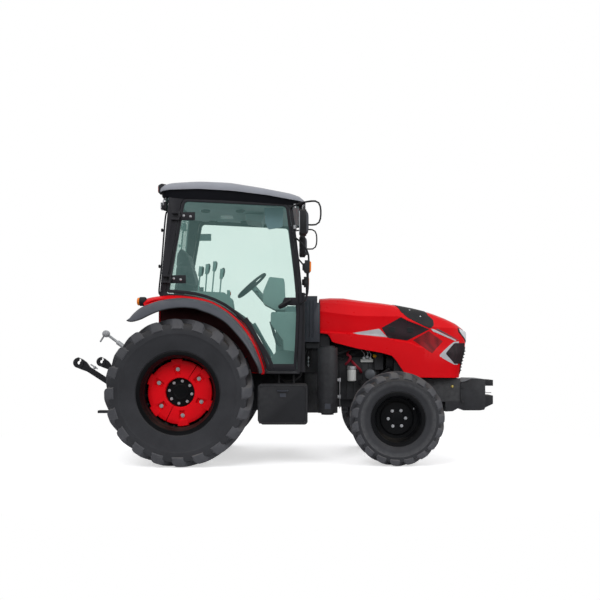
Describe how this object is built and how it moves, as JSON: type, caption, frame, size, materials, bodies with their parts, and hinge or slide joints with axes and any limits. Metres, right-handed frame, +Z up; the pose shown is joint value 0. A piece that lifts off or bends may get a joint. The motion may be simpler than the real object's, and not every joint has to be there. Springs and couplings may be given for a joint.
{
  "type": "farm tractor",
  "caption": "Farm tractor with a glazed two-door cab, large driven rear wheels, steered front wheels, a rear three-point hitch and a front weight block.",
  "frame": {"origin": "middle of the length and width, on the ground", "axes": "+X forward, +Y left, +Z up"},
  "size_m": [4.135, 1.778, 2.6662],
  "materials": {
    "tyre": "ribbed rubber",
    "red_paint": "gloss",
    "weight_paint": "gloss on casting",
    "rim_paint": "gloss",
    "frame_paint": "satin",
    "chassis_iron": "painted casting",
    "flare_plastic": "grained",
    "roof_plastic": "satin",
    "black_plastic": "grained",
    "cowl_plastic": "ribbed",
    "glass": "tinted",
    "seat_cloth": "woven",
    "steel": "zinc plated"
  },
  "bodies": {
    "root": {"engine": "chassis_iron", "gearbox": "chassis_iron", "rear_axle": "chassis_iron", "front_frame": "chassis_iron", "front_weight": "chassis_iron", "front_axle": "chassis_iron", "exhaust_muffler": "chassis_iron", "battery_box": "black_plastic", "fuel_tank": "black_plastic", "cowl": "cowl_plastic", "cab_frame": "frame_paint", "cab_floor": "black_plastic", "cab_roof": "roof_plastic", "windshield": "glass", "rear_window": "glass", "fender_left": "red_paint", "fender_right": "red_paint", "fender_flare_left": "flare_plastic", "fender_flare_right": "flare_plastic", "seat_base": "black_plastic", "seat_cushion": "seat_cloth", "seat_back": "seat_cloth", "steering_console": "black_plastic", "side_console": "black_plastic", "mirror_left": "black_plastic", "mirror_right": "black_plastic", "signal_bar_left": "black_plastic", "signal_bar_right": "black_plastic", "drawbar": "chassis_iron", "top_link": "steel"},
    "steering_wheel": {"steering_wheel": "black_plastic"},
    "hood": {"hood": "red_paint", "grille": "black_plastic"},
    "lower_links": {"lower_link_left": "chassis_iron", "lower_link_right": "chassis_iron"},
    "lift_arms": {"lift_arms": "chassis_iron"},
    "lift_rods": {"lift_rod_left": "steel", "lift_rod_right": "steel"},
    "rear_wheel_left": {"rear_tyre_left": "tyre", "rear_rim_left": "rim_paint", "rear_weight_left": "weight_paint"},
    "steered_left": {"knuckle_left": "chassis_iron"},
    "front_wheel_left": {"front_tyre_left": "tyre", "front_rim_left": "rim_paint"},
    "door_left": {"door_left": "frame_paint", "door_glass_left": "glass"},
    "rear_wheel_right": {"rear_tyre_right": "tyre", "rear_rim_right": "rim_paint", "rear_weight_right": "weight_paint"},
    "steered_right": {"knuckle_right": "chassis_iron"},
    "front_wheel_right": {"front_tyre_right": "tyre", "front_rim_right": "rim_paint"},
    "door_right": {"door_right": "frame_paint", "door_glass_right": "glass"}
  },
  "joints": [
    {"name": "rear_wheel_left_spin", "type": "hinge", "parent": "root", "child": "rear_wheel_left", "pos_m": [-0.98651, 0.7, 0.67914], "axis": [0, 1, 0], "continuous": true},
    {"name": "steer_left", "type": "hinge", "parent": "root", "child": "steered_left", "pos_m": [1.01849, 0.52, 0.44], "axis": [0, 0, 1], "range_deg": [-38, 38]},
    {"name": "front_wheel_left_spin", "type": "hinge", "parent": "steered_left", "child": "front_wheel_left", "pos_m": [1.01849, 0.67, 0.43624], "axis": [0, 1, 0], "continuous": true},
    {"name": "door_left_hinge", "type": "hinge", "parent": "root", "child": "door_left", "pos_m": [-1.09851, 0.64, 1.714], "axis": [0.1412, 0, 0.99], "range_deg": [0, 75]},
    {"name": "rear_wheel_right_spin", "type": "hinge", "parent": "root", "child": "rear_wheel_right", "pos_m": [-0.98651, -0.7, 0.67914], "axis": [0, 1, 0], "continuous": true},
    {"name": "steer_right", "type": "hinge", "parent": "root", "child": "steered_right", "pos_m": [1.01849, -0.52, 0.44], "axis": [0, 0, 1], "range_deg": [-38, 38]},
    {"name": "front_wheel_right_spin", "type": "hinge", "parent": "steered_right", "child": "front_wheel_right", "pos_m": [1.01849, -0.67, 0.43624], "axis": [0, 1, 0], "continuous": true},
    {"name": "door_right_hinge", "type": "hinge", "parent": "root", "child": "door_right", "pos_m": [-1.09851, -0.64, 1.714], "axis": [-0.1412, 0, -0.99], "range_deg": [0, 75]},
    {"name": "steering_wheel_turn", "type": "hinge", "parent": "root", "child": "steering_wheel", "pos_m": [-0.37151, 0, 1.733], "axis": [-0.6561, 0, 0.7547], "range_deg": [-540, 540]},
    {"name": "hood_hinge", "type": "hinge", "parent": "root", "child": "hood", "pos_m": [0.33349, 0, 1.555], "axis": [0, -1, 0], "range_deg": [0, 45]},
    {"name": "hitch_lift", "type": "hinge", "parent": "root", "child": "lower_links", "pos_m": [-1.21651, 0, 0.43], "axis": [0, 1, 0], "range_deg": [-46, 4]},
    {"name": "lift_arm_swing", "type": "hinge", "parent": "root", "child": "lift_arms", "pos_m": [-1.16651, 0, 0.96], "axis": [0, 1, 0], "range_deg": [-46.5, 4.5]},
    {"name": "lift_rod_swing", "type": "hinge", "parent": "lift_arms", "child": "lift_rods", "pos_m": [-1.45262, 0, 1.14368], "axis": [0, 1, 0], "range_deg": [-4.5, 46.5]}
  ],
  "couplings": [
    {"joint": "steer_right", "follows": "steer_left", "ratio": 1},
    {"joint": "steering_wheel_turn", "follows": "steer_left", "ratio": 14},
    {"joint": "lift_arm_swing", "follows": "hitch_lift", "ratio": 1},
    {"joint": "lift_rod_swing", "follows": "hitch_lift", "ratio": -1}
  ]
}
